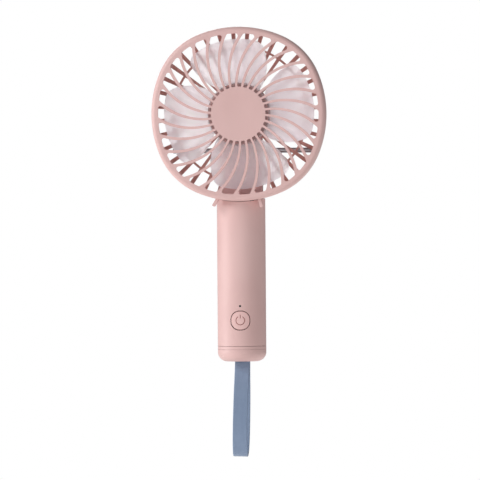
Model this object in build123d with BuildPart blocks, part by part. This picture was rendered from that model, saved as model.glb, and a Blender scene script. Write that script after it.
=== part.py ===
from build123d import *
from math import atan2, cos, degrees, hypot, radians, sin, sqrt, tan
import os

# A battery fan that is held in the hand, in millimetres. +Z runs up the handle and -Y is the front of
# the fan. The origin is on the handle's axis, in the middle of the length that a hand holds.

# Head
HEAD_Z = 84.0  # the fan's centre
HEAD_HALF = 52.4  # half the head's width and height
CORNER_R = 41.9  # the outline's corner arcs
CORNER_OUT = 8.7  # how far out along X and Z those arcs are centred
RIM_WIDTH = 4.0  # the front rim's face
RIM_ROUND = 2.4
FRONT_WALL = 1.9
REAR_WALL = 2.4
REAR_DRAFT = 4.0  # degrees that the rear rim narrows towards the back
REAR_ROUND = 1.2
FRONT_Y = -20.0  # the front face of the guard
PARTING_Y = -7.0  # where the front and rear rims meet
REAR_Y = 3.0  # the back of the rear rim
GAP = 0.3  # between pieces that move past each other
LIP_FRONT = -9.3  # the rear rim's lip, which centres the front one
LIP_BACK = -5.2
LIP_WALL = 0.8

# Guards
GUARD_THICK = 2.2
DISC_R = 16.4
FRONT_RIBS = 30
RIB_STATIONS = ((15.5, -3.6, 1.3), (32.0, 3.4, 1.6), (54.0, 19.4, 2.3))  # radius, lean, width
SLOT_ROUND_IN = 0.4
SLOT_ROUND_OUT = 1.4
PRONGS = ((255.0, -16.0), (283.4, 2.0))  # each one's angle from +X, and how far it leans from that
PRONG_MIDDLE = 54.6  # from the fan's centre
PRONG_WIDTH = 1.8
PRONG_LENGTH = 6.0
PRONG_FRONT = -17.0
PRONG_BACK = -11.0
REAR_RIBS = 36
REAR_RIB_FRONT = -3.2
REAR_RIB_TURN = 4.5  # the first rib, from +X
REAR_RIB_ANGLE = 2.8  # the angle that each straight rib spans
RING_R = 40.4
RING_WIDTH = 1.3
GUARD_HUB_R = 18.9
ROD_DROP = 22.0  # the rod's height below the fan's centre
ROD_R = 1.6
ROD_Y = 1.2
ROD_X = 1.0  # the rod's middle
ROD_LENGTH = 84.0

# Blades and motor
BLADES = 4
BLADE_TURN = 6.4  # the first blade, from the top towards the left
BLADE_TIP_R = 45.2
BLADE_THICK = 1.1
BLADE_PITCH = 12.0
BLADE_CAMBER_R = 130.0
BLADE_Y = -10.6  # the middle of the blades
BLADE_DROP = 1.0  # the camber sets their middles this far back
# Each edge's points: radius, and angle from the blade's middle
LEAD_EDGE = ((17.6, -27.0), (31.0, -40.5), (BLADE_TIP_R, -36.5))
TIP_EDGE = ((BLADE_TIP_R, -36.5), (BLADE_TIP_R, -5.0), (BLADE_TIP_R, 24.0))
TRAIL_EDGE = ((BLADE_TIP_R, 24.0), (31.0, 39.5), (17.6, 48.0))
BLADE_ROUND_LEAD = 6.0
BLADE_ROUND_TRAIL = 8.0
HUB_R = 18.6
HUB_FRONT = -17.0
HUB_BACK = -6.0
HUB_WALL = 1.3
BOSS_R = 2.6
BOSS_BACK = -13.6
CAN_WALL = 0.8
CAN_FRONT = -15.4
CAN_BACK = -6.6
MAGNET_WALL = 2.0
MAGNET_FRONT = -14.6
MAGNET_BACK = -7.4
STATOR_R = 13.9
STATOR_FRONT = -13.4
STATOR_BACK = -8.4
TEETH = 9
TOOTH_WIDTH = 2.4
TOOTH_GAP = 1.6
YOKE_R = 6.6
TIP_IN_R = 12.0
COIL_IN = 7.4
COIL_OUT = 11.6
COIL_BUILD = 0.9
SHAFT_R = 1.0
SHAFT_FRONT = -16.4
SHAFT_BACK = -4.4
SHAFT_FIT = 0.02
CLIP_R = 2.2
CLIP_FRONT = -5.9
CLIP_THICK = 0.5
BEARING_R = 3.0
BEARING_LENGTH = 2.5
FRONT_BEARING_Y = -11.6
REAR_BEARING_Y = -7.6
TUBE_R = 3.9
TUBE_FRONT = -13.1
BASE_FRONT = -4.0
BASE_THICK = 1.6
CUP_R = 17.0
CUP_WALL = 1.6
CUP_BACK = 6.5
COVER_THICK = 1.8
COVER_ROUND = 1.2
COVER_SCREW_DEPTH = 5.0
BOARD_THICK = 1.0
COVER_SCREW_AT = 12.8
MOTOR_SCREW_AT = 10.5
PILOT_R = 0.75
SCREW_HEAD_R = 1.4
SCREW_HEAD = 0.8
CROSS_LENGTH = 1.3  # a screw's cross, as shares of its head's radius
CROSS_WIDTH = 0.3
BOSS_WALL = 1.15
MOTOR_LEAD_HOLE = (6.3, -7.0)  # across and up from the fan's centre
MOTOR_LEAD_HOLE_R = 1.8
MOTOR_BOARD_R = 13.4

# Handle
HANDLE_R = 14.6
WALL = 1.8
BOTTOM_Z = -65.0
CAP_TOP = -57.8
RING_TOP = -55.9
SHELL_BOTTOM = -55.7
JOINT = 0.15  # between the two half shells
RING_JOINT = 0.08  # between the ring and the cap
FRONT_TOP = 29.4  # the underside of the front shell's top wall
SPINE_HALF = 13.0
SPINE_FRONT = -3.2
SPINE_WALL = 1.6
NECK_Z = 33.0  # where the rear shell narrows to the spine
SHOULDER_Z = 35.0
CUP_BOTTOM_Z = HEAD_Z - CUP_R

# Button, lamp and boards
BUTTON_Z = -40.2
BUTTON_SIZE = 11.1
BUTTON_ROUND = 4.9
BUTTON_GAP = 0.4
BUTTON_SINK = 0.35  # the button's face is this far inside the handle's
BUTTON_BACK = -10.7
FLANGE_SIZE = 13.4
FLANGE_BACK = -9.9
STEM_R = 1.5
STEM_BACK = -9.62
MARK_R = 2.6
MARK_WIDTH = 0.45
MARK_DEPTH = 0.45
BUTTON_EDGE = 0.4
LAMP_Z = -31.5
LAMP_R = 0.7
LAMP_SIZE = (1.6, 0.8)
LAMP_THICK = 0.6
WINDOW_LENGTH = 5.6
BOARD_BACK = -6.35
BOARD_FRONT = BOARD_BACK - BOARD_THICK
BOARD_TOP_Z = -22.0
BOARD_BOTTOM_Z = -51.8
BOARD_HALF = 8.5
SCREW_X = 6.8
SCREW_Z = (-27.0, -50.0)
BOARD_BOSS = 4.3
BOARD_SCREW_DEPTH = 3.4
SWITCH_SIZE = 4.5
SWITCH_WELL = 1.1
SWITCH_FRONT = -9.05
PLUNGER_R = 1.4
PLUNGER_FIT = 0.05
PLUNGER_LENGTH = 1.2
PLUNGER_FRONT = -9.58

# Battery and charging
CELL_R = 9.15
CELL_Y = 3.4
CELL_BOTTOM = -39.5
CELL_LENGTH = 65.0
CELL_ROUND = 0.5
TAB_THICK = 0.3
TAB_SIZE = (10.0, 4.0)
PAD_Z = (-12.0, 10.0)
PAD_SIZE = (7.6, 12.0)
PAD_BACK = -5.85
PAD_FRONT = -12.0
SOCKET_Z = -47.6
SOCKET_WIDTH = 9.0
SOCKET_HEIGHT = 3.2
SOCKET_MOUTH = 13.7
SOCKET_WALL = 0.3
TONGUE_SIZE = (6.7, 0.7)
CHARGE_FRONT = 5.6
CHARGE_SHIFT = 0.4
CHARGE_SIZE = (15.0, 8.6)

# Cap and strap
CAP_ROUND = 5.6
SPIGOT_R = 12.6
SPIGOT_WALL = 1.2
SPIGOT_TOP = -52.0
CAP_WALL = 2.0
SLOT_X = 11.4
SLOT_Y = 11.4
SLOT_DEPTH = 7.0
SLOT_ROUND = 2.0
MOUTH_ROUND = 0.6
PIN_R = 1.2
PIN_Z = BOTTOM_Z + 3.2
PIN_LENGTH = 14.6
STRAP_WIDTH = 9.2
STRAP_THICK = 1.6
STRAP_LEAN = 1.5  # degrees that it hangs to the left
STRAP_OVER_PIN = 2.2  # the bend where it goes over the pin
# Its route in its own plane: depth, and height above the pin
STRAP_ROUTE = (
    (-0.05, 2.25), (-2.45, 2.25), (-2.7, -3.0), (-4.8, -11.5), (-9.6, -22.5), (-12.2, -37.5),
    (-11.7, -50.0), (-6.2, -59.9), (6.0, -59.9), (11.9, -51.0), (12.6, -38.0), (10.0, -23.5),
    (5.0, -12.0), (2.7, -3.0), (2.45, 2.25), (0.05, 2.25),
)

# Leads
LEAD_R = 0.55
BEND_SHARE = 0.45  # how much of a straight run each bend takes up
MOTOR_LEADS_X = (5.6, 7.0)
MOTOR_ROUTE = (
    (-5.8, -24.4), (-5.75, -19.5), (-6.9, -9.0), (-6.6, 8.0), (-6.5, 22.0), (-3.7, 27.1), (1.2, 28.0),
    (5.0, 34.0), (5.2, 48.0), (3.9, 60.0), (3.7, 77.0), (BASE_FRONT, 77.0),
)
PLUS_ROUTE = (
    (-3.0, 3.4, 26.35), (-7.0, -0.5, 27.6), (-10.2, -3.6, 24.5), (-9.8, -5.4, 8.0), (-9.9, -5.0, -9.0),
    (-8.0, -5.8, -18.0), (-6.8, -5.8, -24.4),
)
MINUS_ROUTE = ((-2.0, 2.0, -40.35), (-3.6, -2.4, -41.6), (-4.2, -5.0, -45.0), (-4.2, -5.8, -48.0))
CHARGING_LEADS_X = (2.0, 3.6)
CHARGING_ROUTE = ((CHARGE_FRONT, -45.2), (2.2, -45.2), (-3.0, -46.4), (BOARD_BACK, -46.4))

# The outline's side arcs are tangent to its corner arcs when they are centred this far past the middle.
CORNER_DROP = HEAD_HALF - CORNER_R
SIDE_BACK = (2 * CORNER_OUT**2 - CORNER_DROP**2) / (2 * (CORNER_DROP - CORNER_OUT))
SIDE_TURN = degrees(atan2(CORNER_OUT, CORNER_OUT + SIDE_BACK))

os.makedirs("parts", exist_ok=True)


def save(piece, label):
    """Name a finished piece and write it."""
    piece.part.label = label
    export_step(piece.part, f"parts/{label}.step")


def facing(depth, height=HEAD_Z):
    """The plane at this depth that looks out of the front of the fan."""
    return Plane(origin=(0, depth, height), x_dir=(1, 0, 0), z_dir=(0, -1, 0))


def clock(radius, angle):
    """The point at this radius and this angle clockwise from the top."""
    return (radius * sin(radians(angle)), radius * cos(radians(angle)))


def head_outline(half):
    """The head's rounded square at this half-width: four shallow side arcs and four corner arcs."""
    corner_at = CORNER_OUT * sqrt(2)
    with BuildSketch() as outline:
        with BuildLine():
            for side in range(0, 360, 90):
                side_centre = clock(-SIDE_BACK, 90 - side)
                corner_centre = clock(corner_at, 45 - side)
                CenterArc(side_centre, SIDE_BACK + half, side - SIDE_TURN, 2 * SIDE_TURN)
                CenterArc(corner_centre, half - CORNER_DROP, side + SIDE_TURN, 90 - 2 * SIDE_TURN)
        make_face()
    return outline.sketch


def strip(stations):
    """A strip between two arcs, through stations of radius, angle and width along the circle."""
    edges = []
    for sign in (-1, 1):
        edges.append([clock(r, a + sign * degrees(w / 2 / r)) for r, a, w in stations])
    left, right = edges
    with BuildSketch() as shape:
        with BuildLine():
            ThreePointArc(*left)
            Line(left[-1], right[-1])
            ThreePointArc(*reversed(right))
            Line(right[0], left[0])
        make_face()
    return shape.sketch


def back_half(radius):
    """Half a disc, on the side of +Y, that stops short of the joint between the shells."""
    with BuildSketch() as shape:
        Circle(radius)
        with Locations((0, JOINT / 2)):
            Rectangle(2 * radius, radius, align=(Align.CENTER, Align.MIN), mode=Mode.INTERSECT)
    return shape.sketch


def spine_side(front, inset, low, high):
    """The spine from the side, its back two tangent arcs that are this far inside the outer ones."""
    shoulder = (HANDLE_R - inset, SHOULDER_Z)
    neck = (CUP_BACK - inset, CUP_BOTTOM_Z)
    middle = ((shoulder[0] + neck[0]) / 2, (shoulder[1] + neck[1]) / 2)
    with BuildSketch() as shape:
        with BuildLine():
            lower = TangentArc(shoulder, middle, tangent=(0, 1))
            TangentArc(middle, neck, tangent=lower % 1)
            Polyline(neck, (neck[0], high), (front, high), (front, low), (shoulder[0], low), shoulder)
        make_face()
    return shape.sketch


def bend_radii(route):
    """The arc at each corner of a route that takes up its share of the shorter run beside it."""
    points = [Vector(*point) for point in route]
    radii = []
    for before, here, after in zip(points, points[1:], points[2:]):
        turn = (here - before).get_angle(after - here)
        run = min((here - before).length, (after - here).length)
        radii.append(BEND_SHARE * run / tan(radians(turn / 2)))
    return radii


def lead(*route):
    """A wire along straight runs joined by tangent arcs."""
    with BuildPart() as wire:
        with BuildLine() as path:
            FilletPolyline(*route, radius=bend_radii(route))
        with BuildSketch(Plane(origin=path.line @ 0, z_dir=path.line % 0)):
            Circle(LEAD_R)
        sweep(path=path.line)
    return wire.part


def screw(head_r, head_thick, shank_r, length):
    """A small pan-head screw that stands on the underside of its head, head up."""
    with BuildPart() as form:
        with BuildSketch():
            Circle(head_r)
        extrude(amount=head_thick)
        fillet(form.faces().sort_by(Axis.Z)[-1].edges(), head_thick / 3)
        with BuildSketch(Plane.XY.offset(head_thick)):
            SlotOverall(CROSS_LENGTH * head_r, CROSS_WIDTH * head_r)
            SlotOverall(CROSS_LENGTH * head_r, CROSS_WIDTH * head_r, rotation=90)
        extrude(amount=-head_thick / 2, mode=Mode.SUBTRACT)
        with BuildSketch():
            Circle(shank_r)
        extrude(amount=-length)
    return form.part


# ---------------------------------------------------------------- guards
with BuildSketch() as front_ribs:
    with PolarLocations(0, FRONT_RIBS):
        add(strip(RIB_STATIONS))

with BuildSketch() as square_slots:
    add(head_outline(HEAD_HALF - RIM_WIDTH))
    Circle(DISC_R, mode=Mode.SUBTRACT)
    add(front_ribs.sketch, mode=Mode.SUBTRACT)
    fillet(square_slots.vertices().filter_by(lambda v: hypot(v.X, v.Y) < DISC_R + 1), SLOT_ROUND_IN)

# Shrunk and grown again, the slots get round corners at the rim, where they are wide.
with BuildSketch() as front_slots:
    add(square_slots.sketch)
    offset(amount=-SLOT_ROUND_OUT, mode=Mode.REPLACE)
    offset(amount=SLOT_ROUND_OUT, mode=Mode.REPLACE)
    with BuildSketch():
        add(square_slots.sketch)
        Circle(RING_R, mode=Mode.INTERSECT)

with BuildPart() as front_guard:
    with BuildSketch(facing(FRONT_Y)):
        add(head_outline(HEAD_HALF))
    extrude(amount=-(PARTING_Y - FRONT_Y))
    fillet(front_guard.faces().sort_by(Axis.Y)[0].edges(), RIM_ROUND)
    with BuildSketch(facing(PARTING_Y)):
        add(head_outline(HEAD_HALF - FRONT_WALL))
    extrude(amount=PARTING_Y - FRONT_Y - GUARD_THICK, mode=Mode.SUBTRACT)
    with BuildSketch(facing(FRONT_Y)):
        add(front_slots.sketch)
    extrude(amount=-GUARD_THICK, mode=Mode.SUBTRACT)
    with BuildSketch(facing(PRONG_BACK)):
        for angle, lean in PRONGS:
            with Locations(Location((*clock(PRONG_MIDDLE, 90 - angle), 0), (0, 0, angle + lean))):
                RectangleRounded(PRONG_LENGTH, PRONG_WIDTH, PRONG_WIDTH / 3)
    extrude(amount=PRONG_BACK - PRONG_FRONT)
save(front_guard, "front_guard")

with BuildSketch() as straight_rib:
    with BuildLine():
        spread = HEAD_HALF * tan(radians(REAR_RIB_ANGLE / 2))
        Polyline((0, 0), (HEAD_HALF, -spread), (HEAD_HALF, spread), close=True)
    make_face()

with BuildSketch() as rear_lattice:
    with PolarLocations(0, REAR_RIBS, REAR_RIB_TURN):
        add(straight_rib.sketch)
    add(head_outline(HEAD_HALF - REAR_WALL / 2), mode=Mode.INTERSECT)
    with BuildSketch():
        Circle(RING_R + RING_WIDTH / 2)
        Circle(RING_R - RING_WIDTH / 2, mode=Mode.SUBTRACT)
    Circle(GUARD_HUB_R)
    Circle(CUP_R, mode=Mode.SUBTRACT)

REAR_FRONT = PARTING_Y + GAP
lip_half = HEAD_HALF - FRONT_WALL - GAP
with BuildPart() as rear_guard:
    with BuildSketch(facing(REAR_FRONT)):
        add(head_outline(HEAD_HALF))
    extrude(amount=REAR_FRONT - REAR_Y, taper=REAR_DRAFT)
    fillet(rear_guard.faces().sort_by(Axis.Y)[-1].edges(), REAR_ROUND)
    with BuildSketch(facing(REAR_Y)):
        add(head_outline(HEAD_HALF - REAR_WALL))
    extrude(amount=REAR_Y - REAR_FRONT, mode=Mode.SUBTRACT)
    # The lip that goes inside the front guard
    with BuildSketch(facing(LIP_BACK)):
        add(head_outline(lip_half))
        add(head_outline(lip_half - LIP_WALL), mode=Mode.SUBTRACT)
    extrude(amount=LIP_BACK - LIP_FRONT)
    with BuildSketch(facing(REAR_RIB_FRONT + GUARD_THICK)):
        add(rear_lattice.sketch)
    extrude(amount=GUARD_THICK)
    # The way through for the spine
    with BuildSketch(facing(SPINE_FRONT)):
        with Locations((0, -HEAD_HALF)):
            Rectangle(2 * SPINE_HALF, 2 * (HEAD_HALF - CUP_R / 2))
    extrude(amount=-(REAR_Y - SPINE_FRONT), mode=Mode.SUBTRACT)
save(rear_guard, "rear_guard")

with BuildPart() as rear_cross_rod:
    with BuildSketch(Plane.YZ.offset(ROD_X)):
        with Locations((ROD_Y, HEAD_Z - ROD_DROP)):
            Circle(ROD_R)
    extrude(amount=ROD_LENGTH / 2, both=True)
    chamfer(rear_cross_rod.edges().filter_by(GeomType.CIRCLE), ROD_R / 5)
save(rear_cross_rod, "rear_cross_rod")

# ---------------------------------------------------------------- rotor
# One blade in its own plane: +X is clockwise and +Z is towards the front of the fan.
with BuildPart() as blade:
    with BuildSketch(Plane.XZ):
        with Locations((0, BLADE_CAMBER_R)):
            Circle(BLADE_CAMBER_R + BLADE_THICK / 2)
            Circle(BLADE_CAMBER_R - BLADE_THICK / 2, mode=Mode.SUBTRACT)
        with Locations((0, -BLADE_THICK)):
            Rectangle(2 * BLADE_TIP_R, HUB_R, mode=Mode.INTERSECT)
    extrude(amount=-BLADE_TIP_R)
with BuildSketch() as blade_outline:
    with BuildLine():
        for edge in (LEAD_EDGE, TIP_EDGE, TRAIL_EDGE):
            ThreePointArc(*[clock(radius, angle) for radius, angle in edge])
        Line(clock(*TRAIL_EDGE[-1]), clock(*LEAD_EDGE[0]))
    make_face()
    tips = blade_outline.vertices().sort_by(Axis.Y)[-2:]
    fillet(tips.sort_by(Axis.X)[0], BLADE_ROUND_LEAD)
    fillet(blade_outline.vertices().sort_by(lambda v: v.X + v.Y)[-1], BLADE_ROUND_TRAIL)
with BuildPart() as pitched_blade:
    add(blade.part.translate((0, 0, -BLADE_DROP)).rotate(Axis.Y, -BLADE_PITCH))
    with BuildSketch(Plane.XY.offset(-HUB_R)):
        add(blade_outline.sketch)
    extrude(amount=2 * HUB_R, mode=Mode.INTERSECT)

with BuildPart() as fan_blades:
    with BuildSketch(facing(HUB_BACK)):
        Circle(HUB_R)
    extrude(amount=HUB_BACK - HUB_FRONT)
    fillet(fan_blades.faces().sort_by(Axis.Y)[0].edges(), HUB_WALL)
    with Locations(facing(BLADE_Y)):
        with PolarLocations(0, BLADES, BLADE_TURN):
            add(pitched_blade.part)
    with BuildSketch(facing(HUB_BACK)):
        Circle(HUB_R - HUB_WALL)
    extrude(amount=HUB_BACK - HUB_FRONT - HUB_WALL, mode=Mode.SUBTRACT)
    with BuildSketch(facing(BOSS_BACK)):
        Circle(BOSS_R)
    extrude(amount=BOSS_BACK - HUB_FRONT - HUB_WALL / 2)
    with BuildSketch(facing(BOSS_BACK)):
        Circle(SHAFT_R)
    extrude(amount=BOSS_BACK - SHAFT_FRONT, mode=Mode.SUBTRACT)
save(fan_blades, "fan_blades")


def tube(outer, inner, front, back):
    """A plain ring about the fan's axis between two depths."""
    with BuildPart() as ring:
        with BuildSketch(facing(back)):
            Circle(outer)
            Circle(inner, mode=Mode.SUBTRACT)
        extrude(amount=back - front)
    return ring


can_r = HUB_R - HUB_WALL
rotor_can = tube(can_r, can_r - CAN_WALL, CAN_FRONT, CAN_BACK)
save(rotor_can, "rotor_can")

magnet_r = can_r - CAN_WALL
magnet_ring = tube(magnet_r, magnet_r - MAGNET_WALL, MAGNET_FRONT, MAGNET_BACK)
save(magnet_ring, "magnet_ring")

with BuildPart() as motor_shaft:
    with BuildSketch(facing(SHAFT_BACK)):
        Circle(SHAFT_R)
    extrude(amount=SHAFT_BACK - SHAFT_FRONT)
    chamfer(motor_shaft.edges().filter_by(GeomType.CIRCLE), SHAFT_R / 5)
save(motor_shaft, "motor_shaft")

shaft_clip = tube(CLIP_R, SHAFT_R, CLIP_FRONT, CLIP_FRONT + CLIP_THICK)
save(shaft_clip, "shaft_clip")

# ---------------------------------------------------------------- motor, fixed half
for label, middle in (("front_bearing", FRONT_BEARING_Y), ("rear_bearing", REAR_BEARING_Y)):
    bearing = tube(BEARING_R, SHAFT_R + SHAFT_FIT, middle - BEARING_LENGTH / 2, middle + BEARING_LENGTH / 2)
    save(bearing, label)

BASE_BACK = BASE_FRONT + BASE_THICK
bearing_tube = tube(TUBE_R, BEARING_R, TUBE_FRONT, BASE_BACK)
save(bearing_tube, "bearing_tube")

with BuildPart() as stator_core:
    with BuildSketch(facing(STATOR_BACK)):
        Circle(STATOR_R)
        Circle(TIP_IN_R, mode=Mode.SUBTRACT)
        with PolarLocations(STATOR_R, TEETH, 180 / TEETH):
            Rectangle(STATOR_R, TOOTH_GAP, mode=Mode.SUBTRACT)
        with PolarLocations(TIP_IN_R / 2, TEETH):
            Rectangle(STATOR_R, TOOTH_WIDTH)
        Circle(YOKE_R)
        Circle(TUBE_R, mode=Mode.SUBTRACT)
    extrude(amount=STATOR_BACK - STATOR_FRONT)
save(stator_core, "stator_core")

core_length = STATOR_BACK - STATOR_FRONT
with BuildPart() as coil:
    with BuildSketch(Plane.YZ.offset(COIL_IN)):
        RectangleRounded(TOOTH_WIDTH + 2 * COIL_BUILD, core_length + 2 * COIL_BUILD, COIL_BUILD / 2)
        Rectangle(TOOTH_WIDTH, core_length, mode=Mode.SUBTRACT)
    extrude(amount=COIL_OUT - COIL_IN)
with BuildPart() as stator_coils:
    with Locations(facing((STATOR_BACK + STATOR_FRONT) / 2)):
        with PolarLocations(0, TEETH):
            add(coil.part)
save(stator_coils, "stator_coils")

with BuildPart() as motor_board:
    with BuildSketch(facing(BASE_FRONT)):
        Circle(MOTOR_BOARD_R)
        Circle(TUBE_R, mode=Mode.SUBTRACT)
        with PolarLocations(MOTOR_SCREW_AT, 2):
            Circle(PILOT_R, mode=Mode.SUBTRACT)
    extrude(amount=BOARD_THICK)
save(motor_board, "motor_board")

with BuildPart() as motor_board_screws:
    with Locations(facing(BASE_FRONT - BOARD_THICK)):
        with PolarLocations(MOTOR_SCREW_AT, 2):
            add(screw(SCREW_HEAD_R, SCREW_HEAD, PILOT_R, BOARD_THICK + BASE_THICK))
save(motor_board_screws, "motor_board_screws")

# ---------------------------------------------------------------- handle
with BuildPart() as spine:
    with BuildSketch(Plane.YZ):
        add(spine_side(SPINE_FRONT, 0, FRONT_TOP, HEAD_Z - CUP_R / 2))
    extrude(amount=SPINE_HALF, both=True)
    with BuildSketch():
        Circle(HANDLE_R)
    extrude(amount=HEAD_Z, mode=Mode.INTERSECT)
    with BuildSketch(facing(SPINE_FRONT)):
        Rectangle(3 * HEAD_HALF, 3 * HEAD_HALF)
        add(head_outline(HEAD_HALF), mode=Mode.SUBTRACT)
    extrude(amount=SPINE_FRONT - JOINT / 2, mode=Mode.SUBTRACT)

with BuildPart() as spine_hollow:
    with BuildSketch(Plane.YZ):
        add(spine_side(SPINE_FRONT + SPINE_WALL, WALL, NECK_Z, HEAD_Z - CUP_R / 2))
    extrude(amount=SPINE_HALF - WALL, both=True)
    with BuildSketch():
        Circle(HANDLE_R - WALL)
    extrude(amount=HEAD_Z, mode=Mode.INTERSECT)
    with BuildSketch(Plane.XY.offset(SHELL_BOTTOM)):
        add(back_half(HANDLE_R - WALL))
    extrude(amount=SHOULDER_Z - SHELL_BOTTOM)

with BuildPart() as handle_rear_shell:
    with BuildSketch(Plane.XY.offset(SHELL_BOTTOM)):
        add(back_half(HANDLE_R))
    extrude(amount=NECK_Z - SHELL_BOTTOM)
    with BuildSketch(facing(REAR_Y)):
        add(head_outline(HEAD_HALF))
    extrude(amount=REAR_Y, mode=Mode.SUBTRACT)
    add(spine.part)
    with BuildSketch(facing(CUP_BACK)):
        Circle(CUP_R)
    extrude(amount=CUP_BACK - BASE_FRONT)
    with BuildSketch(facing(CUP_BACK)):
        Circle(CUP_R - CUP_WALL)
        with PolarLocations(COVER_SCREW_AT, 2):
            Circle(PILOT_R + BOSS_WALL, mode=Mode.SUBTRACT)
    extrude(amount=CUP_BACK - BASE_BACK, mode=Mode.SUBTRACT)
    add(spine_hollow.part, mode=Mode.SUBTRACT)
    # Holes in the cup's floor for the bearing tube, the screws and the motor's leads
    with BuildSketch(facing(BASE_BACK)):
        Circle(TUBE_R)
        with PolarLocations(MOTOR_SCREW_AT, 2):
            Circle(PILOT_R)
        with Locations(MOTOR_LEAD_HOLE):
            Circle(MOTOR_LEAD_HOLE_R)
    extrude(amount=BASE_THICK, mode=Mode.SUBTRACT)
    with BuildSketch(facing(CUP_BACK)):
        with PolarLocations(COVER_SCREW_AT, 2):
            Circle(PILOT_R)
    extrude(amount=COVER_SCREW_DEPTH, mode=Mode.SUBTRACT)
    with BuildSketch(Plane.YZ):
        with Locations((ROD_Y, HEAD_Z - ROD_DROP)):
            Circle(ROD_R)
    extrude(amount=ROD_LENGTH / 2, both=True, mode=Mode.SUBTRACT)
    # The charging socket's opening
    with BuildSketch(facing(HANDLE_R, SOCKET_Z)):
        SlotOverall(SOCKET_WIDTH + 2 * JOINT, SOCKET_HEIGHT + 2 * JOINT)
    extrude(amount=HANDLE_R / 2, mode=Mode.SUBTRACT)
save(handle_rear_shell, "handle_rear_shell")

with BuildPart() as pod_cover:
    with BuildSketch(facing(CUP_BACK + COVER_THICK)):
        Circle(CUP_R)
    extrude(amount=COVER_THICK)
    fillet(pod_cover.faces().sort_by(Axis.Y)[-1].edges(), COVER_ROUND)
    with BuildSketch(facing(CUP_BACK + COVER_THICK)):
        with PolarLocations(COVER_SCREW_AT, 2):
            Circle(SCREW_HEAD_R + JOINT)
    extrude(amount=SCREW_HEAD + JOINT, mode=Mode.SUBTRACT)
    with BuildSketch(facing(CUP_BACK + COVER_THICK)):
        with PolarLocations(COVER_SCREW_AT, 2):
            Circle(PILOT_R)
    extrude(amount=COVER_THICK, mode=Mode.SUBTRACT)
save(pod_cover, "pod_cover")

with BuildPart() as pod_cover_screws:
    head_under = CUP_BACK + COVER_THICK - SCREW_HEAD - JOINT
    with Locations(Plane(origin=(0, head_under, HEAD_Z), x_dir=(1, 0, 0), z_dir=(0, 1, 0))):
        with PolarLocations(COVER_SCREW_AT, 2):
            add(screw(SCREW_HEAD_R, SCREW_HEAD, PILOT_R, COVER_SCREW_DEPTH))
save(pod_cover_screws, "pod_cover_screws")

with BuildPart() as handle_front_shell:
    with BuildSketch(Plane.XY.offset(SHELL_BOTTOM)):
        add(back_half(HANDLE_R).mirror(Plane.XZ))
    extrude(amount=SHOULDER_Z - SHELL_BOTTOM)
    with BuildSketch(Plane.XY.offset(SHELL_BOTTOM)):
        add(back_half(HANDLE_R - WALL).mirror(Plane.XZ))
    extrude(amount=FRONT_TOP - SHELL_BOTTOM, mode=Mode.SUBTRACT)
    with BuildSketch(facing(0)):
        add(head_outline(HEAD_HALF + GAP))
    extrude(amount=HANDLE_R, mode=Mode.SUBTRACT)
    # Bosses for the main board
    with BuildSketch(facing(BOARD_FRONT, 0)):
        with Locations([(side * SCREW_X, z) for side in (-1, 1) for z in SCREW_Z]):
            Circle(PILOT_R + BOSS_WALL)
    extrude(amount=BOARD_BOSS)
    with BuildSketch(facing(BOARD_FRONT, 0)):
        with Locations([(side * SCREW_X, z) for side in (-1, 1) for z in SCREW_Z]):
            Circle(PILOT_R)
    extrude(amount=BOARD_SCREW_DEPTH, mode=Mode.SUBTRACT)
    # Openings for the button and the lamp's window
    opening = BUTTON_SIZE + 2 * BUTTON_GAP
    with BuildSketch(facing(FLANGE_BACK, BUTTON_Z)):
        RectangleRounded(opening, opening, BUTTON_ROUND + BUTTON_GAP)
    extrude(amount=HANDLE_R, mode=Mode.SUBTRACT)
    with BuildSketch(facing(FLANGE_BACK, LAMP_Z)):
        Circle(LAMP_R)
    extrude(amount=HANDLE_R, mode=Mode.SUBTRACT)
save(handle_front_shell, "handle_front_shell")

with BuildPart() as cap_ring:
    with BuildSketch(Plane.XY.offset(RING_TOP)):
        Circle(HANDLE_R)
        Circle(SPIGOT_R, mode=Mode.SUBTRACT)
    extrude(amount=CAP_TOP + RING_JOINT - RING_TOP)
save(cap_ring, "cap_ring")

with BuildPart() as bottom_cap:
    with BuildSketch(Plane.XY.offset(BOTTOM_Z)):
        Circle(HANDLE_R)
    extrude(amount=CAP_TOP - BOTTOM_Z)
    fillet(bottom_cap.faces().sort_by(Axis.Z)[0].edges(), CAP_ROUND)
    with BuildSketch(Plane.XY.offset(CAP_TOP)):
        Circle(SPIGOT_R)
    extrude(amount=SPIGOT_TOP - CAP_TOP)
    with BuildSketch(Plane.XY.offset(SPIGOT_TOP)):
        Circle(SPIGOT_R - SPIGOT_WALL)
    extrude(amount=BOTTOM_Z + SLOT_DEPTH + CAP_WALL - SPIGOT_TOP, mode=Mode.SUBTRACT)
    with BuildSketch(Plane.XY.offset(BOTTOM_Z)):
        RectangleRounded(SLOT_X, SLOT_Y, SLOT_ROUND)
    extrude(amount=SLOT_DEPTH, mode=Mode.SUBTRACT)
    mouth = bottom_cap.faces().sort_by(Axis.Z)[0].inner_wires()[0].edges()
    fillet(mouth, MOUTH_ROUND)
    with BuildSketch(Plane.YZ):
        with Locations((0, PIN_Z)):
            Circle(PIN_R)
    extrude(amount=PIN_LENGTH / 2, both=True, mode=Mode.SUBTRACT)
save(bottom_cap, "bottom_cap")

with BuildPart() as strap_pin:
    with BuildSketch(Plane.YZ):
        with Locations((0, PIN_Z)):
            Circle(PIN_R)
    extrude(amount=PIN_LENGTH / 2, both=True)
save(strap_pin, "strap_pin")

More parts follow.
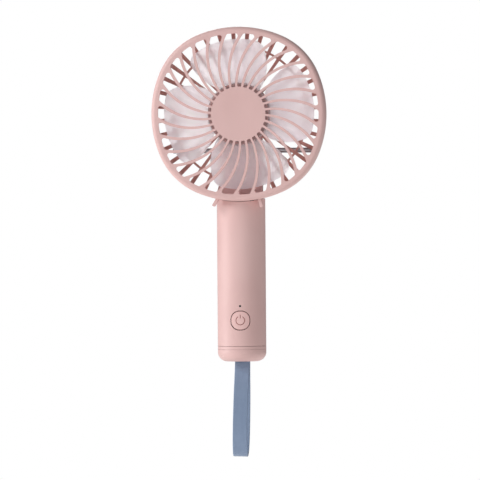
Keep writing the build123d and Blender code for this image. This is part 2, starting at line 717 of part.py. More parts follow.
# ---------------------------------------------------------------- button, lamp and boards
with BuildPart() as power_button:
    with BuildSketch(facing(BUTTON_BACK, BUTTON_Z)):
        RectangleRounded(BUTTON_SIZE, BUTTON_SIZE, BUTTON_ROUND)
    extrude(amount=HANDLE_R)
    with BuildSketch(Plane.XY.offset(BUTTON_Z - BUTTON_SIZE)):
        Circle(HANDLE_R - BUTTON_SINK)
    extrude(amount=2 * BUTTON_SIZE, mode=Mode.INTERSECT)
    fillet(power_button.faces().sort_by(Axis.Y)[0].edges(), BUTTON_EDGE)
    with BuildSketch(facing(FLANGE_BACK, BUTTON_Z)):
        RectangleRounded(FLANGE_SIZE, FLANGE_SIZE, BUTTON_ROUND)
    extrude(amount=FLANGE_BACK - BUTTON_BACK)
    with BuildSketch(facing(STEM_BACK, BUTTON_Z)):
        Circle(STEM_R)
    extrude(amount=STEM_BACK - FLANGE_BACK)
    # The mark: an open ring with a short bar in its gap
    with BuildSketch(facing(MARK_DEPTH + BUTTON_SINK - HANDLE_R, BUTTON_Z)):
        Circle(MARK_R + MARK_WIDTH / 2)
        Circle(MARK_R - MARK_WIDTH / 2, mode=Mode.SUBTRACT)
        with Locations((0, MARK_R)):
            Rectangle(MARK_R, MARK_R, mode=Mode.SUBTRACT)
            SlotOverall(MARK_R, MARK_WIDTH, rotation=90)
    extrude(amount=HANDLE_R, mode=Mode.SUBTRACT)
save(power_button, "power_button")

with BuildPart() as switch_body:
    with BuildSketch(facing(BOARD_FRONT, BUTTON_Z)):
        RectangleRounded(SWITCH_SIZE, SWITCH_SIZE, SWITCH_SIZE / 10)
    extrude(amount=BOARD_FRONT - SWITCH_FRONT)
    with BuildSketch(facing(SWITCH_FRONT, BUTTON_Z)):
        Circle(PLUNGER_R + PLUNGER_FIT)
    extrude(amount=-SWITCH_WELL, mode=Mode.SUBTRACT)
save(switch_body, "switch_body")

with BuildPart() as switch_plunger:
    with BuildSketch(facing(PLUNGER_FRONT, BUTTON_Z)):
        Circle(PLUNGER_R)
    extrude(amount=-PLUNGER_LENGTH)
    fillet(switch_plunger.faces().sort_by(Axis.Y)[0].edges(), PLUNGER_FIT)
save(switch_plunger, "switch_plunger")

with BuildPart() as indicator_lamp:
    with BuildSketch(facing(BOARD_FRONT, LAMP_Z)):
        Rectangle(*LAMP_SIZE)
    extrude(amount=LAMP_THICK)
save(indicator_lamp, "indicator_lamp")

with BuildPart() as lamp_window:
    with BuildSketch(facing(BOARD_FRONT - LAMP_THICK - GAP, LAMP_Z)):
        Circle(LAMP_R)
    extrude(amount=WINDOW_LENGTH)
save(lamp_window, "lamp_window")

with BuildPart() as main_board:
    with BuildSketch(facing(BOARD_BACK, (BOARD_TOP_Z + BOARD_BOTTOM_Z) / 2)):
        RectangleRounded(2 * BOARD_HALF, BOARD_TOP_Z - BOARD_BOTTOM_Z, BOARD_THICK)
    extrude(amount=BOARD_THICK)
    with BuildSketch(facing(BOARD_BACK, 0)):
        with Locations([(side * SCREW_X, z) for side in (-1, 1) for z in SCREW_Z]):
            Circle(PILOT_R)
    extrude(amount=BOARD_THICK, mode=Mode.SUBTRACT)
save(main_board, "main_board")

with BuildPart() as main_board_screws:
    with Locations([Plane(origin=(side * SCREW_X, BOARD_BACK, z), x_dir=(1, 0, 0), z_dir=(0, 1, 0))
                    for side in (-1, 1) for z in SCREW_Z]):
        add(screw(SCREW_HEAD_R, SCREW_HEAD, PILOT_R, BOARD_THICK + BOARD_SCREW_DEPTH))
save(main_board_screws, "main_board_screws")

with BuildPart() as charging_board:
    with BuildSketch(facing(CHARGE_FRONT + BOARD_THICK, SOCKET_Z + CHARGE_SHIFT)):
        RectangleRounded(*CHARGE_SIZE, BOARD_THICK)
    extrude(amount=BOARD_THICK)
save(charging_board, "charging_board")

with BuildPart() as charging_socket:
    socket_depth = SOCKET_MOUTH - CHARGE_FRONT - BOARD_THICK
    with BuildSketch(facing(SOCKET_MOUTH, SOCKET_Z)):
        SlotOverall(SOCKET_WIDTH, SOCKET_HEIGHT)
    extrude(amount=socket_depth)
    with BuildSketch(facing(SOCKET_MOUTH, SOCKET_Z)):
        SlotOverall(SOCKET_WIDTH - 2 * SOCKET_WALL, SOCKET_HEIGHT - 2 * SOCKET_WALL)
    extrude(amount=socket_depth - BOARD_THICK, mode=Mode.SUBTRACT)
    with BuildSketch(facing(SOCKET_MOUTH - BOARD_THICK, SOCKET_Z)):
        Rectangle(*TONGUE_SIZE)
    extrude(amount=socket_depth - 2 * BOARD_THICK)
save(charging_socket, "charging_socket")

# ---------------------------------------------------------------- battery and leads
with BuildPart() as battery_cell:
    with BuildSketch(Plane.XY.offset(CELL_BOTTOM)):
        with Locations((0, CELL_Y)):
            Circle(CELL_R)
    extrude(amount=CELL_LENGTH)
    fillet(battery_cell.edges().filter_by(GeomType.CIRCLE), CELL_ROUND)
save(battery_cell, "battery_cell")

with BuildPart() as battery_tabs:
    for z in (CELL_BOTTOM - TAB_THICK, CELL_BOTTOM + CELL_LENGTH):
        with BuildSketch(Plane.XY.offset(z)):
            with Locations((0, CELL_Y)):
                RectangleRounded(*TAB_SIZE, TAB_THICK)
        extrude(amount=TAB_THICK)
save(battery_tabs, "battery_tabs")

with BuildPart() as battery_pads:
    for z in PAD_Z:
        with BuildSketch(facing(PAD_BACK, z)):
            RectangleRounded(*PAD_SIZE, BOARD_THICK)
        extrude(amount=PAD_BACK - PAD_FRONT)
save(battery_pads, "battery_pads")

with BuildPart() as motor_leads:
    for x in MOTOR_LEADS_X:
        add(lead(*[(x, y, z) for y, z in MOTOR_ROUTE]))
save(motor_leads, "motor_leads")

with BuildPart() as battery_leads:
    add(lead(*PLUS_ROUTE))
    add(lead(*MINUS_ROUTE))
save(battery_leads, "battery_leads")

with BuildPart() as charging_leads:
    for x in CHARGING_LEADS_X:
        add(lead(*[(x, y, z) for y, z in CHARGING_ROUTE]))
save(charging_leads, "charging_leads")

# ---------------------------------------------------------------- wrist strap
strap_radii = bend_radii([(y, z, 0) for y, z in STRAP_ROUTE])
strap_radii[0] = STRAP_OVER_PIN
strap_radii[-1] = STRAP_OVER_PIN
strap_plane = Plane(origin=(0, 0, PIN_Z), x_dir=(0, 1, 0), z_dir=(1, 0, -tan(radians(STRAP_LEAN))))
with BuildPart() as wrist_strap:
    with BuildSketch(strap_plane):
        with BuildLine() as strap_line:
            FilletPolyline(*STRAP_ROUTE, radius=strap_radii)
        trace(line_width=STRAP_THICK)
    extrude(amount=STRAP_WIDTH / 2, both=True)
save(wrist_strap, "wrist_strap")
strap_length = strap_line.wire().length
strap_share = wrist_strap.part.volume / (STRAP_WIDTH * STRAP_THICK * strap_length)
print("strap radii", [round(radius, 1) for radius in strap_radii], "length", round(strap_length, 1))
print("strap volume over section times length", round(strap_share, 4))
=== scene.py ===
from math import cos, pi, radians, sin

import bpy
from mathutils import Matrix, Vector


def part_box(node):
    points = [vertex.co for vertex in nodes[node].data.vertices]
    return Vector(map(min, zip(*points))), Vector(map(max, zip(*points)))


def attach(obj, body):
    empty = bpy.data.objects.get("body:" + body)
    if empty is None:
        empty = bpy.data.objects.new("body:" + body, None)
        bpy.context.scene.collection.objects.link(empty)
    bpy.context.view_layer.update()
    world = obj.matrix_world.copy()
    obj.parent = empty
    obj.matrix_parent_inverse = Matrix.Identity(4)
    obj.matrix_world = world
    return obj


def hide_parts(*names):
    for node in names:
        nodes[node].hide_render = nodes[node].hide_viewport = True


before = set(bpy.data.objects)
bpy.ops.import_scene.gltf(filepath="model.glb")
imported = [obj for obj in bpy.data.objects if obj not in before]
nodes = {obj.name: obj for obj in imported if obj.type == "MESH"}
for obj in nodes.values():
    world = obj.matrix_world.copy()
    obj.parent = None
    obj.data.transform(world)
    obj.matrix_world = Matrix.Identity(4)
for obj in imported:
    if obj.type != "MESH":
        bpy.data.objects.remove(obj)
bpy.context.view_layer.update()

MM = 0.001


# ---------------------------------------------------------------- places taken from the frame
def middle(name):
    """The middle of a node's box."""
    low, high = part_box(name)
    return (low + high) / 2


head_centre = middle("fan_blades")
button_centre = middle("power_button")
pin_centre = middle("strap_pin")
strap_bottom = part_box("wrist_strap")[0].z

# ---------------------------------------------------------------- camera
CAMERA_AZIMUTH = 4.0
CAMERA_ELEVATION = 0.65
CAMERA_ROLL = -0.42
CAMERA_DISTANCE = 5.0
VIEW_WIDTH = 0.2887  # across the picture, at the fan
SENSOR = 36.0
AIM_UP = 0.0082  # the picture's middle is this high


def make_camera():
    """The photograph's view: from just right of the front and a little above, through a long lens."""
    azimuth, elevation = radians(CAMERA_AZIMUTH), radians(CAMERA_ELEVATION)
    back = Vector((sin(azimuth) * cos(elevation), -cos(azimuth) * cos(elevation), sin(elevation)))
    aim = Vector((0, head_centre.y, AIM_UP))
    data = bpy.data.cameras.new("camera")
    data.sensor_width = SENSOR
    data.lens = SENSOR * CAMERA_DISTANCE / VIEW_WIDTH
    data.clip_start, data.clip_end = 0.01, 100
    camera = bpy.data.objects.new("camera", data)
    bpy.context.scene.collection.objects.link(camera)
    turn = (-back).to_track_quat("-Z", "Y").to_matrix().to_4x4()
    roll = Matrix.Rotation(radians(CAMERA_ROLL), 4, "Z")
    camera.matrix_world = Matrix.Translation(aim + back * CAMERA_DISTANCE) @ turn @ roll
    bpy.context.scene.camera = camera


make_camera()

# ---------------------------------------------------------------- wrist strap
# The route is the CAD strap's own, in millimetres in the strap's plane: depth, and height above the pin.
STRAP_ROUTE = (
    (-0.05, 2.25), (-2.45, 2.25), (-2.7, -3.0), (-4.8, -11.5), (-9.6, -22.5), (-12.2, -37.5), (-11.7, -50.0),
    (-6.2, -59.9), (6.0, -59.9), (11.9, -51.0), (12.6, -38.0), (10.0, -23.5), (5.0, -12.0), (2.7, -3.0),
    (2.45, 2.25), (0.05, 2.25),
)
STRAP_WIDTH = 8.8 * MM
STRAP_THICK = 1.6 * MM
STRAP_LEAN = radians(1.5)
STRAP_SHIFT = 0.35  # millimetres that it hangs to the right of the slot's middle
STRAP_EDGE = 0.42 * MM  # the rounding of its four long edges
STRAP_STEPS = 12  # points of the spline from one route point to the next
EDGE_TURNS = (90, 60, 30, 0, -30, -60, -90)  # degrees at the points of its rounded side
GROOVES = 11  # along each face
GROOVE_DEPTH = 0.06 * MM
across = Vector((cos(STRAP_LEAN), 0, -sin(STRAP_LEAN)))


def strap_point(depth, height):
    """A route point in the shared frame."""
    return pin_centre + Vector((STRAP_SHIFT + height * sin(STRAP_LEAN), depth, height * cos(STRAP_LEAN))) * MM


def spline_points(points, steps):
    """Points along the smooth NURBS line that has these control points."""
    curve = bpy.data.curves.new("route", "CURVE")
    curve.dimensions = "3D"
    spline = curve.splines.new("NURBS")
    spline.points.add(len(points) - 1)
    for place, point in zip(spline.points, points):
        place.co = (*point, 1)
    spline.order_u = 3
    spline.use_endpoint_u = True
    spline.resolution_u = steps
    holder = bpy.data.objects.new("route", curve)
    mesh = bpy.data.meshes.new_from_object(holder)
    line = [v.co.copy() for v in mesh.vertices]
    bpy.data.meshes.remove(mesh)
    bpy.data.objects.remove(holder)
    bpy.data.curves.remove(curve)
    return line


def add_mesh(name, verts, faces, smooth=True):
    """A new mesh object from its points and faces."""
    mesh = bpy.data.meshes.new(name)
    mesh.from_pydata([tuple(v) for v in verts], [], faces)
    mesh.validate()
    for polygon in mesh.polygons:
        polygon.use_smooth = smooth
    piece = bpy.data.objects.new(name, mesh)
    bpy.context.scene.collection.objects.link(piece)
    return piece


def strap_section():
    """The strap's cross-section, across and through, with rounded edges and shallow grooves."""
    half, thin, edge = STRAP_WIDTH / 2, STRAP_THICK / 2, STRAP_EDGE
    section = []
    for side in (1, -1):
        start = side * (half - edge)
        for turn in EDGE_TURNS:
            angle = radians(turn)
            rise = thin - edge if turn >= 0 else edge - thin
            section.append((start + side * edge * cos(angle), side * (rise + edge * sin(angle))))
        for step in range(1, 2 * GROOVES):
            place = 1 - step / GROOVES
            depth = thin - GROOVE_DEPTH * (step % 2)
            section.append((side * (half - edge) * place, -side * depth))
    return section


def make_strap():
    """A flat woven strap that follows the route's spline, closed at its two ends over the pin."""
    line = spline_points([strap_point(*p) for p in STRAP_ROUTE], STRAP_STEPS)
    section = strap_section()
    count = len(section)
    verts, faces = [], []
    for i, here in enumerate(line):
        before, after = line[max(i - 1, 0)], line[min(i + 1, len(line) - 1)]
        along = (after - before).normalized()
        out = along.cross(across).normalized()
        verts += [here + across * a + out * t for a, t in section]
    for i in range(len(line) - 1):
        for j in range(count):
            k = (j + 1) % count
            low, high = i * count, (i + 1) * count
            faces.append((low + j, low + k, high + k, high + j))
    faces.append(tuple(reversed(range(count))))
    faces.append(tuple(range((len(line) - 1) * count, len(line) * count)))
    strap = add_mesh("woven_wrist_strap", verts, faces)
    uv = strap.data.uv_layers.new(name="weave")
    lengths = [0.0]
    for a, b in zip(line, line[1:]):
        lengths.append(lengths[-1] + (b - a).length)
    for loop in strap.data.loops:
        ring, at = divmod(loop.vertex_index, count)
        uv.data[loop.index].uv = (section[at][0], lengths[ring])
    return strap, line


strap, strap_line = make_strap()
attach(strap, "strap")
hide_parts("wrist_strap")

# ---------------------------------------------------------------- material kit


def srgb(*rgb):
    """A linear colour from 0-255 sRGB values."""
    linear = []
    for value in rgb:
        c = value / 255
        linear.append(c / 12.92 if c <= 0.04045 else ((c + 0.055) / 1.055) ** 2.4)
    return (*linear, 1.0)


WHITE = srgb(255, 255, 255)
BLACK = srgb(0, 0, 0)
FULL = (0, 1)  # a ramp's ends, when it takes all of its field


class Surface:
    """A node material that is built up step by step around one Principled shader."""

    def __init__(self, name, **settings):
        self.material = bpy.data.materials.new(name)
        self.material.use_nodes = True
        self.tree = self.material.node_tree
        self.shader = self.tree.nodes["Principled BSDF"]
        self.place = self.add("ShaderNodeTexCoord").outputs["Object"]
        for label, value in settings.items():
            self.shader.inputs[label.replace("_", " ")].default_value = value

    def add(self, kind, **values):
        node = self.tree.nodes.new(kind)
        for label, value in values.items():
            if label in node.inputs:
                node.inputs[label].default_value = value
            else:
                setattr(node, label, value)
        return node

    def join(self, source, target):
        self.tree.links.new(source, target)

    def noise(self, scale, detail=3.0, rough=0.55, stretch=None):
        """A noise field in object space, from 0 to 1, scale in lumps per metre."""
        node = self.add("ShaderNodeTexNoise", Scale=scale, Detail=detail, Roughness=rough)
        self.join(self.stretched(stretch), node.inputs["Vector"])
        return node.outputs["Fac"]

    def stretched(self, stretch):
        """The object's own coordinates, scaled along each axis."""
        if stretch is None:
            return self.place
        node = self.add("ShaderNodeMapping")
        node.inputs["Scale"].default_value = stretch
        self.join(self.place, node.inputs["Vector"])
        return node.outputs["Vector"]

    def ramp(self, field, low, high, at=(0.3, 0.7)):
        """Two colours blended by a field."""
        node = self.add("ShaderNodeValToRGB")
        node.color_ramp.elements[0].position, node.color_ramp.elements[1].position = at
        node.color_ramp.elements[0].color, node.color_ramp.elements[1].color = low, high
        self.join(field, node.inputs["Fac"])
        return node.outputs["Color"]

    def share(self, field, start, end):
        """A field that goes from 0 to 1 while another goes from start to end."""
        node = self.add("ShaderNodeMapRange")
        node.inputs["From Min"].default_value = start
        node.inputs["From Max"].default_value = end
        self.join(field, node.inputs["Value"])
        return node.outputs["Result"]

    def behind(self, front, back):
        """A field that goes from 0 to 1 between two depths."""
        split = self.add("ShaderNodeSeparateXYZ")
        self.join(self.place, split.inputs["Vector"])
        return self.share(split.outputs["Y"], front, back)

    def off_axis(self, centre, inner, outer):
        """A field that goes from 0 to 1 between two radii about the front-to-back line through a centre."""
        shift = self.add("ShaderNodeVectorMath", operation="SUBTRACT")
        self.join(self.place, shift.inputs[0])
        shift.inputs[1].default_value = centre
        flat = self.add("ShaderNodeVectorMath", operation="MULTIPLY")
        self.join(shift.outputs["Vector"], flat.inputs[0])
        flat.inputs[1].default_value = (1, 0, 1)
        length = self.add("ShaderNodeVectorMath", operation="LENGTH")
        self.join(flat.outputs["Vector"], length.inputs[0])
        return self.share(length.outputs["Value"], inner, outer)

    def spread(self, field, low, high):
        """A field's 0 to 1 moved to low to high."""
        node = self.add("ShaderNodeMapRange")
        node.inputs["To Min"].default_value = low
        node.inputs["To Max"].default_value = high
        self.join(field, node.inputs["Value"])
        return node.outputs["Result"]

    def times(self, colour, other, amount=1.0, blend="MULTIPLY"):
        """Two colours multiplied, or blended in another way, in part or in full."""
        node = self.add("ShaderNodeMix", data_type="RGBA", blend_type=blend)
        node.inputs["Factor"].default_value = amount
        self.join(colour, node.inputs["A"])
        self.join(other, node.inputs["B"])
        return node.outputs["Result"]

    def tint(self, other):
        """The material's colour so far, multiplied by another."""
        plastic = self.shader.inputs["Base Color"].links[0].from_socket
        self.colour(self.times(plastic, other))

    def colour(self, socket):
        self.join(socket, self.shader.inputs["Base Color"])

    def roughness(self, socket):
        self.join(socket, self.shader.inputs["Roughness"])

    def bump(self, field, height, strength):
        """A bump from a field, its height in metres; a later bump adds to an earlier one."""
        node = self.add("ShaderNodeBump", Strength=strength, Distance=height)
        self.join(field, node.inputs["Height"])
        if self.shader.inputs["Normal"].is_linked:
            self.join(self.shader.inputs["Normal"].links[0].from_socket, node.inputs["Normal"])
        self.join(node.outputs["Normal"], self.shader.inputs["Normal"])


def moulded(name, base, deep, low_rough=0.42, high_rough=0.58, grain=0.012, **settings):
    """Moulded plastic with slow colour drift, flow lines, uneven gloss and grain so many millimetres deep."""
    s = Surface(name, **settings)
    drift = s.noise(28, 2.0)
    tint = s.ramp(drift, deep, base, (0.25, 0.6))
    flow = s.ramp(s.noise(60, 3.0, 0.6, (1, 1, 0.25)), srgb(247, 247, 247), WHITE)
    s.colour(s.times(tint, flow, 0.7))
    s.roughness(s.spread(s.noise(90, 4.0, 0.6), low_rough, high_rough))
    s.bump(s.noise(5200, 2.0, 0.6), grain * MM, 0.35)
    s.bump(s.noise(160, 2.0), 0.02 * MM, 0.25)
    return s


def brushed(name, base, deep, rough, stretch):
    """Metal with fine drawn lines along one axis."""
    s = Surface(name, Metallic=1.0)
    lines = s.noise(1500, 3.0, 0.6, stretch)
    s.colour(s.ramp(lines, deep, base))
    s.roughness(s.spread(lines, rough - 0.06, rough + 0.1))
    s.bump(lines, 0.01 * MM, 0.4)
    return s


# ---------------------------------------------------------------- materials
PINK = srgb(228, 190, 187)
PINK_DEEP = srgb(222, 182, 179)
RIB_PAINTED_SHADE = srgb(229, 207, 199)  # painted shade, times the pink, on the rear ribs inside the head
RIM_START = (49.2 * MM, 50.4 * MM)  # from the fan's axis: the ribs' painted shade ends between these
HUB_SHADE_END = (17.8 * MM, 19.2 * MM)  # and the hub's painted shade between these
GAP_SHADE = (-13.0 * MM, -12.4 * MM)  # painted shade: between these depths the button's side goes dark
MARK_SHADE = (-13.95 * MM, -13.84 * MM)  # and between these, near its middle, its mark gets painted shade
MARK_REACH = (3.1 * MM, 3.2 * MM)


def shell_pink():
    """The front guard, the shells, the cap and its ring, and the motor's cover."""
    return moulded("shell_pink", PINK, PINK_DEEP, Specular_IOR_Level=0.45, Coat_Weight=0.25,
                   Coat_Roughness=0.42)


def rear_pink():
    """The rear guard: the shells' pink on its rim, and painted shade, a deeper rose, on the ribs inside."""
    s = moulded("rear_pink", PINK, PINK_DEEP, low_rough=0.48, high_rough=0.62, Specular_IOR_Level=0.35)
    # painted shade: the ribs inside the head are darkened to a deeper rose, up to the rim
    s.tint(s.ramp(s.off_axis(head_centre, *RIM_START), RIB_PAINTED_SHADE, WHITE, FULL))
    return s


def button_pink():
    """The power button: smoother than the shell, with painted shade down in the gap round it and in its mark.
    """
    s = moulded("button_pink", srgb(238, 199, 196), srgb(232, 190, 187), low_rough=0.36, high_rough=0.5,
                grain=0.008, Specular_IOR_Level=0.45, Coat_Weight=0.1, Coat_Roughness=0.3)
    # painted shade down in the gap round the button
    s.tint(s.ramp(s.behind(*GAP_SHADE), WHITE, srgb(86, 56, 54), FULL))
    # painted shade in the recessed mark near the button's middle
    groove_painted_shade = s.ramp(s.behind(*MARK_SHADE), WHITE, srgb(186, 140, 134), FULL)
    beyond = s.ramp(s.off_axis(button_centre, *MARK_REACH), BLACK, WHITE, FULL)
    s.tint(s.times(groove_painted_shade, beyond, blend="LIGHTEN"))
    return s


def frosted_blade():
    """Milky frosted plastic with faint flow streaks, painted shade on the hub where the shaded motor stands
    behind it, and a faint painted glow.
    """
    # painted light: a faint pinkish emission makes the blades glow, though they are no lamp
    s = Surface("frosted_blade", IOR=1.4, Transmission_Weight=0.66, Subsurface_Weight=0.3,
                Subsurface_Radius=(0.005, 0.0045, 0.0048), Subsurface_Scale=1.0,
                Emission_Color=(1, 0.92, 0.93, 1), Emission_Strength=0.05)
    streaks = s.noise(70, 4.0, 0.6, (1, 1, 0.5))
    s.colour(s.ramp(streaks, srgb(238, 232, 238), srgb(252, 250, 252)))
    # painted shade: the hub is darkened where the shaded motor stands behind it
    s.tint(s.ramp(s.off_axis(head_centre, *HUB_SHADE_END), srgb(204, 158, 150), WHITE, FULL))
    s.roughness(s.spread(s.noise(240, 3.0), 0.57, 0.65))
    s.bump(s.noise(900, 3.0), 0.02 * MM, 0.4)
    return s


def steel():
    """The cross rod and the rotor's can, drawn along X."""
    return brushed("steel", srgb(196, 197, 202), srgb(150, 152, 160), 0.28, (0.02, 1, 1))


def turned_steel():
    """The shaft, the strap's pin and the screws, drawn along Y."""
    return brushed("turned_steel", srgb(205, 205, 208), srgb(160, 161, 166), 0.24, (1, 0.05, 1))


def socket_steel():
    """The charging socket's folded shell."""
    return brushed("socket_steel", srgb(190, 190, 193), srgb(145, 146, 150), 0.3, (1, 0.05, 1))


def nickel():
    """The battery's welded tabs."""
    return brushed("nickel", srgb(206, 201, 190), srgb(170, 165, 152), 0.26, (0.06, 1, 1))


def brass():
    """Sintered bronze with fine open pores."""
    s = Surface("brass", Metallic=1.0)
    pores = s.noise(6500, 2.0)
    s.colour(s.ramp(pores, srgb(120, 88, 48), srgb(196, 158, 96), (0.35, 0.55)))
    s.roughness(s.spread(pores, 0.5, 0.3))
    s.bump(pores, 0.03 * MM, 0.6)
    return s


def core_steel():
    """Thin steel laminations stacked along the axis."""
    s = Surface("core_steel", Metallic=0.9)
    wave = s.add("ShaderNodeTexWave", wave_type="BANDS", bands_direction="Y", Scale=620, Distortion=0.4,
                 Detail=1.0)
    s.join(s.place, wave.inputs["Vector"])
    s.colour(s.ramp(wave.outputs["Fac"], srgb(70, 72, 78), srgb(128, 130, 136)))
    s.roughness(s.spread(s.noise(800), 0.35, 0.55))
    s.bump(wave.outputs["Fac"], 0.04 * MM, 0.6)
    return s


def magnet():
    """Pressed ferrite, dark and slightly gritty."""
    s = Surface("magnet")
    grit = s.noise(4200, 4.0, 0.65)
    s.colour(s.ramp(grit, srgb(38, 36, 38), srgb(74, 70, 72)))
    s.roughness(s.spread(grit, 0.5, 0.75))
    s.bump(grit, 0.03 * MM, 0.6)
    return s


def copper_wire():
    """Enamelled wire wound side by side round each tooth."""
    s = Surface("copper_wire", Metallic=0.85, Coat_Weight=0.6, Coat_Roughness=0.15)
    wave = s.add("ShaderNodeTexWave", wave_type="RINGS", rings_direction="Y", Scale=330, Distortion=0.3,
                 Detail=1.0)
    s.join(s.place, wave.inputs["Vector"])
    s.colour(s.ramp(wave.outputs["Fac"], srgb(120, 58, 26), srgb(214, 130, 74)))
    s.roughness(s.spread(wave.outputs["Fac"], 0.4, 0.25))
    s.bump(wave.outputs["Fac"], 0.12 * MM, 0.8)
    return s


def circuit_board():
    """Green solder mask over glass cloth, with the tracks showing as lighter lines."""
    s = Surface("circuit_board", Coat_Weight=0.35, Coat_Roughness=0.2)
    tracks = s.add("ShaderNodeTexBrick", Scale=330.0)
    tracks.inputs["Mortar Size"].default_value = 0.03
    tracks.inputs["Color1"].default_value = srgb(22, 92, 58)
    tracks.inputs["Color2"].default_value = srgb(18, 80, 50)
    tracks.inputs["Mortar"].default_value = srgb(58, 142, 92)
    turned = s.add("ShaderNodeMapping")
    turned.inputs["Rotation"].default_value = (pi / 2, 0, 0)
    s.join(s.place, turned.inputs["Vector"])
    s.join(turned.outputs["Vector"], tracks.inputs["Vector"])
    cloth = s.ramp(s.noise(2600, 3.0), srgb(228, 236, 228), WHITE)
    s.colour(s.times(tracks.outputs["Color"], cloth, 0.8))
    s.roughness(s.spread(s.noise(500), 0.3, 0.5))
    s.bump(tracks.outputs["Fac"], 0.035 * MM, 0.8)
    return s


def black_plastic():
    """The switch."""
    return moulded("black_plastic", srgb(46, 46, 48), srgb(30, 30, 32), 0.38, 0.55)


def lamp_clear():
    """The lamp and its smoked window, dark while it is off."""
    s = Surface("lamp_clear", Transmission_Weight=0.1, IOR=1.5, Coat_Weight=0.5, Coat_Roughness=0.08)
    smoke = s.noise(2400, 2.0)
    s.colour(s.ramp(smoke, srgb(10, 6, 6), srgb(24, 14, 14)))
    s.roughness(s.spread(smoke, 0.12, 0.25))
    s.bump(smoke, 0.01 * MM, 0.3)
    return s


def cell_wrap():
    """Shrink-wrapped battery film with faint lengthwise draw lines."""
    s = Surface("cell_wrap", Coat_Weight=0.5, Coat_Roughness=0.15)
    lines = s.noise(900, 3.0, 0.6, (1, 1, 0.03))
    s.colour(s.ramp(lines, srgb(52, 96, 132), srgb(70, 120, 158)))
    s.roughness(s.spread(s.noise(260), 0.22, 0.4))
    s.bump(lines, 0.02 * MM, 0.5)
    return s


def foam():
    """Open-cell foam."""
    s = Surface("foam", Sheen_Weight=0.2)
    cells = s.add("ShaderNodeTexVoronoi", Scale=2100.0)
    s.join(s.place, cells.inputs["Vector"])
    s.colour(s.ramp(cells.outputs["Distance"], srgb(88, 88, 92), srgb(132, 132, 136), (0.1, 0.6)))
    s.roughness(s.spread(s.noise(700), 0.85, 0.97))
    s.bump(cells.outputs["Distance"], 0.25 * MM, 0.9)
    return s


def lead_cover(name, base, deep):
    """Soft silicone wire cover with a faint twist in its grain."""
    s = Surface(name, Specular_IOR_Level=0.4)
    twist = s.noise(1300, 2.0, 0.5, (1, 1, 0.2))
    s.colour(s.ramp(twist, deep, base))
    s.roughness(s.spread(twist, 0.42, 0.6))
    s.bump(twist, 0.02 * MM, 0.5)
    return s


def lead_red():
    return lead_cover("lead_red", srgb(196, 44, 38), srgb(168, 30, 28))


def lead_black():
    return lead_cover("lead_black", srgb(44, 42, 42), srgb(26, 25, 26))


def webbing():
    """Woven polyester: ribs along the strap, crossed by fine picks, with a soft sheen."""
    s = Surface("strap_webbing", Sheen_Weight=0.25, Sheen_Roughness=0.4, Specular_IOR_Level=0.25)
    uv = s.add("ShaderNodeUVMap", uv_map="weave")
    warp = s.add("ShaderNodeTexWave", wave_type="BANDS", bands_direction="X", Scale=700, Distortion=0.35,
                 Detail=1.0)
    weft = s.add("ShaderNodeTexWave", wave_type="BANDS", bands_direction="Y", Scale=900, Distortion=0.5,
                 Detail=1.0)
    for wave in (warp, weft):
        s.join(uv.outputs["UV"], wave.inputs["Vector"])
    blend = s.add("ShaderNodeMix", data_type="FLOAT")
    blend.inputs["Factor"].default_value = 0.4
    s.join(warp.outputs["Fac"], blend.inputs["A"])
    s.join(weft.outputs["Fac"], blend.inputs["B"])
    weave = blend.outputs["Result"]
    slow = s.ramp(s.noise(120, 3.0, 0.6, (1, 1, 0.2)), srgb(236, 238, 242), WHITE)
    s.colour(s.times(s.ramp(weave, srgb(122, 139, 165), srgb(158, 175, 203), (0.1, 0.9)), slow, 0.9))
    s.roughness(s.spread(weave, 0.62, 0.82))
    s.bump(weave, 0.09 * MM, 0.8)
    return s


FINISHES = (
    (shell_pink, ("front_guard", "handle_front_shell", "handle_rear_shell", "pod_cover", "cap_ring",
                  "bottom_cap")),
    (rear_pink, ("rear_guard",)),
    (button_pink, ("power_button",)),
    (frosted_blade, ("fan_blades",)),
    (steel, ("rear_cross_rod", "rotor_can")),
    (turned_steel, ("motor_shaft", "shaft_clip", "strap_pin", "motor_board_screws", "pod_cover_screws",
                    "main_board_screws")),
    (core_steel, ("stator_core",)),
    (magnet, ("magnet_ring",)),
    (brass, ("front_bearing", "rear_bearing", "bearing_tube")),
    (copper_wire, ("stator_coils",)),
    (circuit_board, ("motor_board", "main_board", "charging_board")),
    (black_plastic, ("switch_body", "switch_plunger")),
    (lamp_clear, ("lamp_window", "indicator_lamp")),
    (socket_steel, ("charging_socket",)),
    (cell_wrap, ("battery_cell",)),
    (nickel, ("battery_tabs",)),
    (foam, ("battery_pads",)),
    (lead_red, ("battery_leads", "charging_leads")),
    (lead_black, ("motor_leads",)),
)


def paint(piece, surface):
    """Give every material slot of a piece this finish."""
    if not piece.material_slots:
        piece.data.materials.append(surface.material)
    for place in piece.material_slots:
        place.material = surface.material


for make, names in FINISHES:
    surface = make()
    for name in names:
        paint(nodes[name], surface)
paint(strap, webbing())

# ---------------------------------------------------------------- stage
AMBIENT = 0.2
FLOOR_DROP = 0.12  # below the strap: the fan is shown held up
FLOOR_RADIUS = 2.2
FLOOR_SIDES = 96
FLOOR_GLOW = 0.74  # keeps the far floor as pale as the near
# Each light's name, place, target, size and power
LIGHTS = (
    ("key", (-1.1, -0.9, 0.95), (0, 0, 0.03), 0.7, 13.5),
    ("side", (-1.5, -0.3, 0.0), (0, 0, 0.02), 0.6, 7),
    ("fill", (0.2, -1.7, 0.1), (0, 0, 0), 0.9, 2.6),
    ("back", (-0.5, 1.4, 0.8), (0, 0, 0.03), 0.9, 10),
)


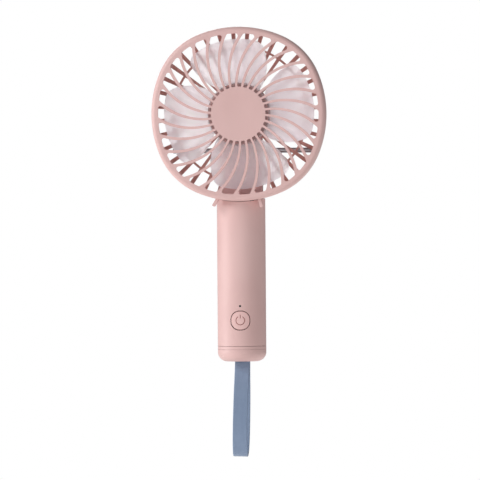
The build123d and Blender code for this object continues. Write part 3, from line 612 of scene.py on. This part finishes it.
def make_floor():
    """A plain pale round floor under the fan."""
    height = strap_bottom - FLOOR_DROP
    angles = [2 * pi * side / FLOOR_SIDES for side in range(FLOOR_SIDES)]
    edge = [(FLOOR_RADIUS * cos(angle), FLOOR_RADIUS * sin(angle), height) for angle in angles]
    floor = add_mesh("floor", edge, [tuple(range(FLOOR_SIDES))], smooth=False)
    s = Surface("floor_pale", Roughness=0.8, Emission_Color=srgb(255, 254, 252), Emission_Strength=FLOOR_GLOW)
    s.colour(s.ramp(s.noise(6), srgb(144, 143, 141), srgb(150, 149, 147)))
    floor.data.materials.append(s.material)


def area_light(name, place, target, size, power):
    """A square soft light that faces its target."""
    data = bpy.data.lights.new(name, "AREA")
    data.shape, data.size, data.energy = "SQUARE", size, power
    light = bpy.data.objects.new(name, data)
    light.location = place
    light.rotation_mode = "QUATERNION"
    light.rotation_quaternion = (Vector(target) - Vector(place)).to_track_quat("-Z", "Y")
    bpy.context.scene.collection.objects.link(light)


def make_world():
    """White behind the fan and through its blades, and a softer grey as the light that it gives."""
    world = bpy.data.worlds.new("studio")
    world.use_nodes = True
    tree = world.node_tree
    seen = tree.nodes["Background"]
    seen.inputs["Color"].default_value = (1, 1, 1, 1)
    lit = tree.nodes.new("ShaderNodeBackground")
    lit.inputs["Color"].default_value = (1, 1, 1, 1)
    lit.inputs["Strength"].default_value = AMBIENT
    path = tree.nodes.new("ShaderNodeLightPath")
    mix = tree.nodes.new("ShaderNodeMixShader")
    through = tree.nodes.new("ShaderNodeMath")
    through.operation = "MAXIMUM"
    tree.links.new(path.outputs["Is Camera Ray"], through.inputs[0])
    tree.links.new(path.outputs["Is Transmission Ray"], through.inputs[1])
    tree.links.new(through.outputs["Value"], mix.inputs["Fac"])
    tree.links.new(lit.outputs["Background"], mix.inputs[1])
    tree.links.new(seen.outputs["Background"], mix.inputs[2])
    tree.links.new(mix.outputs["Shader"], tree.nodes["World Output"].inputs["Surface"])
    bpy.context.scene.world = world


make_floor()
make_world()
for light in LIGHTS:
    area_light(*light)
bpy.context.scene.view_settings.view_transform = "Standard"
